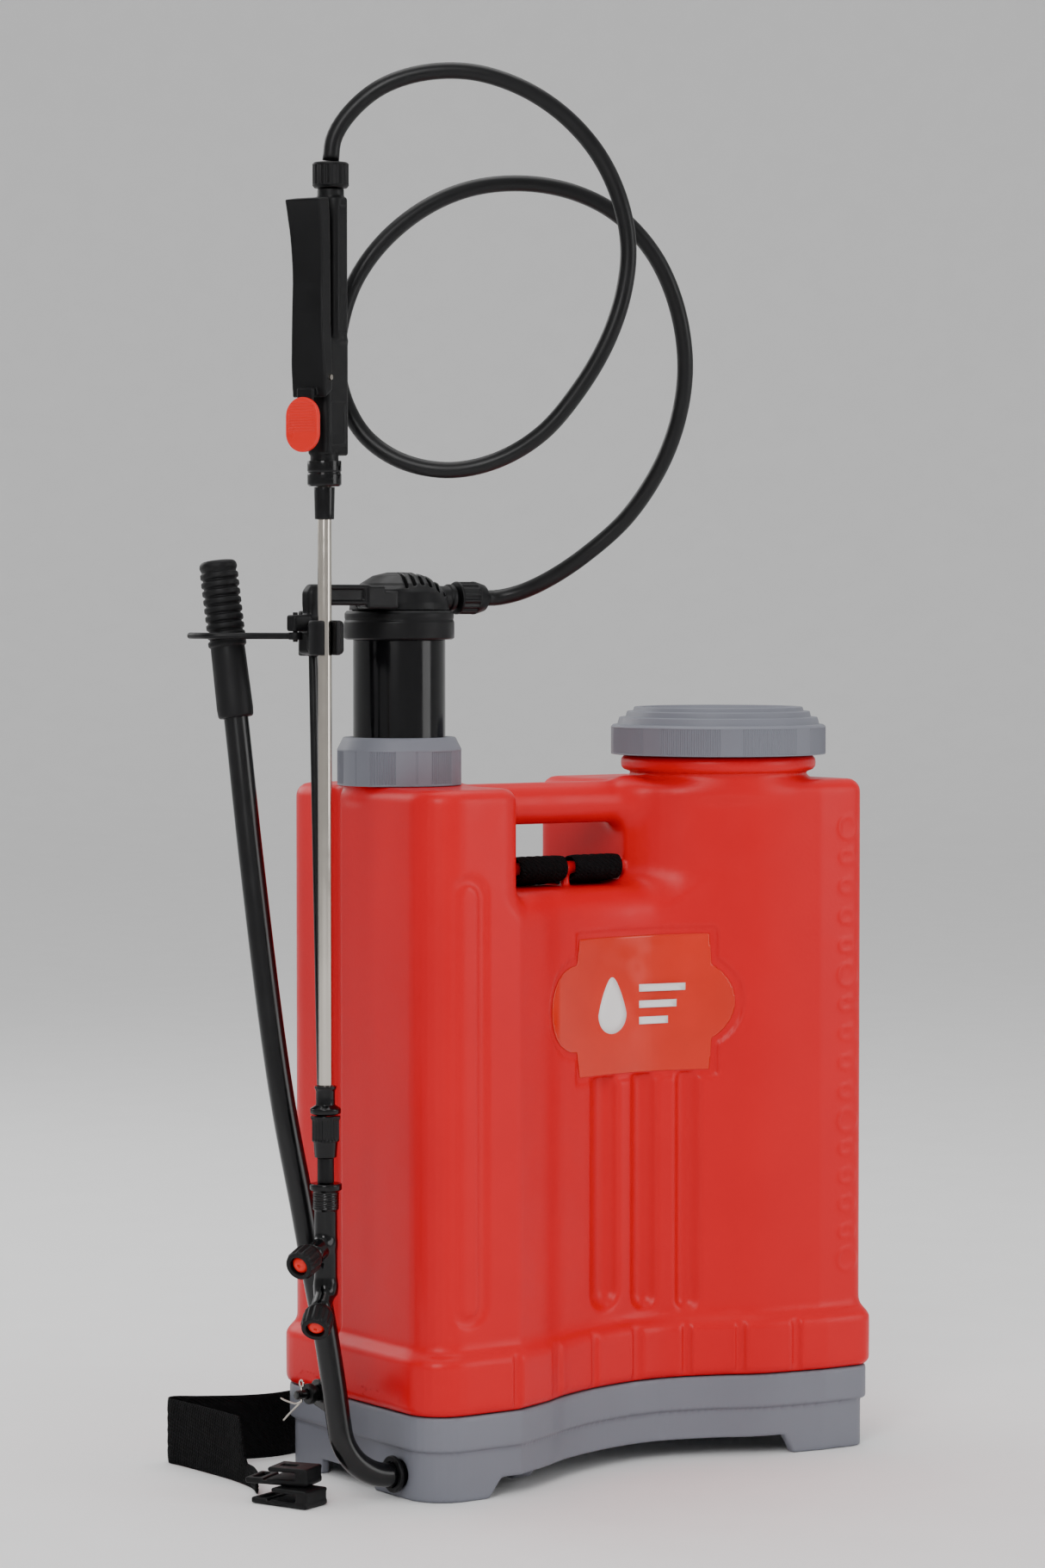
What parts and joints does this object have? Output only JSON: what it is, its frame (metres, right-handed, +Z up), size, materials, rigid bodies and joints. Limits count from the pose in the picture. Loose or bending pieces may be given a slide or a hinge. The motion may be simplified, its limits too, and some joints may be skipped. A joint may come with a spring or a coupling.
{
  "type": "backpack sprayer",
  "caption": "Knapsack sprayer: two-column tank with carry handle, side pump lever, outside air chamber, hose and clipped trigger lance.",
  "frame": {"origin": "middle of the bounding box taken without the hose, on the floor", "axes": "+Z up, +X to the right of someone facing the label panel, +Y from the label panel towards the wearer's back; the pump and lever are on -X"},
  "size_m": [0.4754, 0.2964, 0.9209],
  "materials": {
    "red_tank": "semi-gloss, orange-peel",
    "grey_plastic": "fine matt",
    "black_plastic": "satin",
    "gloss_black": "gloss",
    "orange_plastic": "semi-gloss",
    "white_plastic": "natural, satin",
    "black_rubber": "satin",
    "black_webbing": "woven",
    "steel": "polished",
    "black_painted_steel": "gloss"
  },
  "bodies": {
    "body": {"tank": "red_tank", "base": "grey_plastic", "strainer_basket": "white_plastic", "collar_nut": "grey_plastic", "cylinder_seal": "black_rubber", "pump_cylinder": "white_plastic", "foot_valve": "black_plastic", "strap_left": "black_webbing", "strap_right": "black_webbing", "strap_tail": "black_webbing", "strap_hook_lower": "black_plastic", "strap_hook_upper": "black_plastic"},
    "cap_seal": {"cap_gasket": "black_rubber"},
    "cap": {"filler_cap": "grey_plastic", "breather_valve": "black_rubber"},
    "foot_ball": {"foot_valve_ball": "steel"},
    "pump": {"air_chamber": "gloss_black", "piston_cup": "black_rubber", "chamber_ring": "black_plastic", "pump_head": "black_plastic", "outlet_nut": "black_plastic", "pump_arm": "black_plastic", "hose": "black_rubber", "hose_nut": "black_plastic", "handle_body": "black_plastic", "trigger_pin": "steel", "lance_nut": "gloss_black", "lance_ferrule": "gloss_black", "lance_tube": "steel", "lance_connector": "black_plastic", "knurled_nut": "black_plastic", "nozzle_stem": "black_plastic", "nozzle_boom": "gloss_black"},
    "chamber_ball": {"delivery_ball": "steel"},
    "keeper": {"keeper_hook": "black_plastic"},
    "lever": {"lever_tube": "black_painted_steel", "lever_grip": "black_rubber", "crank_lug": "black_painted_steel", "crank_pin": "black_painted_steel", "crank_bush": "black_plastic", "crank_washer": "black_plastic", "split_pin": "steel", "shaft_collar": "black_plastic"},
    "rod": {"pump_rod": "black_painted_steel"},
    "trigger": {"trigger_lever": "black_plastic"},
    "lock": {"lock_slide": "orange_plastic"},
    "stem": {"valve_stem": "steel"},
    "upper_nozzle": {"upper_nozzle_cap": "black_plastic", "upper_nozzle_insert": "orange_plastic"},
    "lower_nozzle": {"lower_nozzle_cap": "black_plastic", "lower_nozzle_insert": "orange_plastic"}
  },
  "joints": [
    {"name": "lever_swing", "type": "hinge", "parent": "body", "child": "lever", "pos_m": [-0.1025, -0.0757, 0.016], "axis": [-1, 0, 0], "range_deg": [0, 45]},
    {"name": "rod_turn", "type": "hinge", "parent": "lever", "child": "rod", "pos_m": [-0.1632, -0.0373, 0.0667], "axis": [-1, 0, 0], "range_deg": [-48.5, 0]},
    {"name": "pump_slide", "type": "slide", "parent": "body", "child": "pump", "axis": [0, 0, -1], "range_m": [0, 0.041]},
    {"name": "keeper_swing", "type": "hinge", "parent": "pump", "child": "keeper", "pos_m": [-0.1953, -0.0518, 0.5632], "axis": [0, 0, 1], "range_deg": [0, 70]},
    {"name": "trigger_pull", "type": "hinge", "parent": "pump", "child": "trigger", "pos_m": [-0.20238, -0.08656, 0.721], "axis": [-0.4384, 0.8988, 0], "range_deg": [0, 6.5], "stiffness_Nm_per_rad": 1.5, "springref_deg": -8.59},
    {"name": "lock_travel", "type": "slide", "parent": "trigger", "child": "lock", "axis": [0, 0, 1], "range_m": [0, 0.006]},
    {"name": "stem_travel", "type": "slide", "parent": "pump", "child": "stem", "axis": [-0.8988, -0.4384, 0], "range_m": [0, 0.004]},
    {"name": "cap_lift", "type": "slide", "parent": "body", "child": "cap_seal", "axis": [0, 0, 1], "range_m": [0, 0.06]},
    {"name": "cap_turn", "type": "hinge", "parent": "cap_seal", "child": "cap", "pos_m": [0.1577, -0.0323, 0.49], "axis": [0, 0, 1], "continuous": true},
    {"name": "foot_ball_lift", "type": "slide", "parent": "body", "child": "foot_ball", "axis": [0, 0, 1], "range_m": [0, 0.003]},
    {"name": "delivery_ball_lift", "type": "slide", "parent": "pump", "child": "chamber_ball", "axis": [0, 0, 1], "range_m": [0, 0.003]},
    {"name": "upper_nozzle_turn", "type": "hinge", "parent": "pump", "child": "upper_nozzle", "pos_m": [-0.1916, -0.0813, 0.171], "axis": [-0.8473, -0.4476, -0.2858], "continuous": true},
    {"name": "lower_nozzle_turn", "type": "hinge", "parent": "pump", "child": "lower_nozzle", "pos_m": [-0.1916, -0.0813, 0.141], "axis": [-0.581, -0.571, -0.58], "continuous": true}
  ],
  "couplings": [
    {"joint": "rod_turn", "follows": "lever_swing", "ratio": -1.0703},
    {"joint": "pump_slide", "follows": "lever_swing", "m_per_rad": 0.05157},
    {"joint": "stem_travel", "follows": "trigger_pull", "m_per_rad": 0.031}
  ]
}
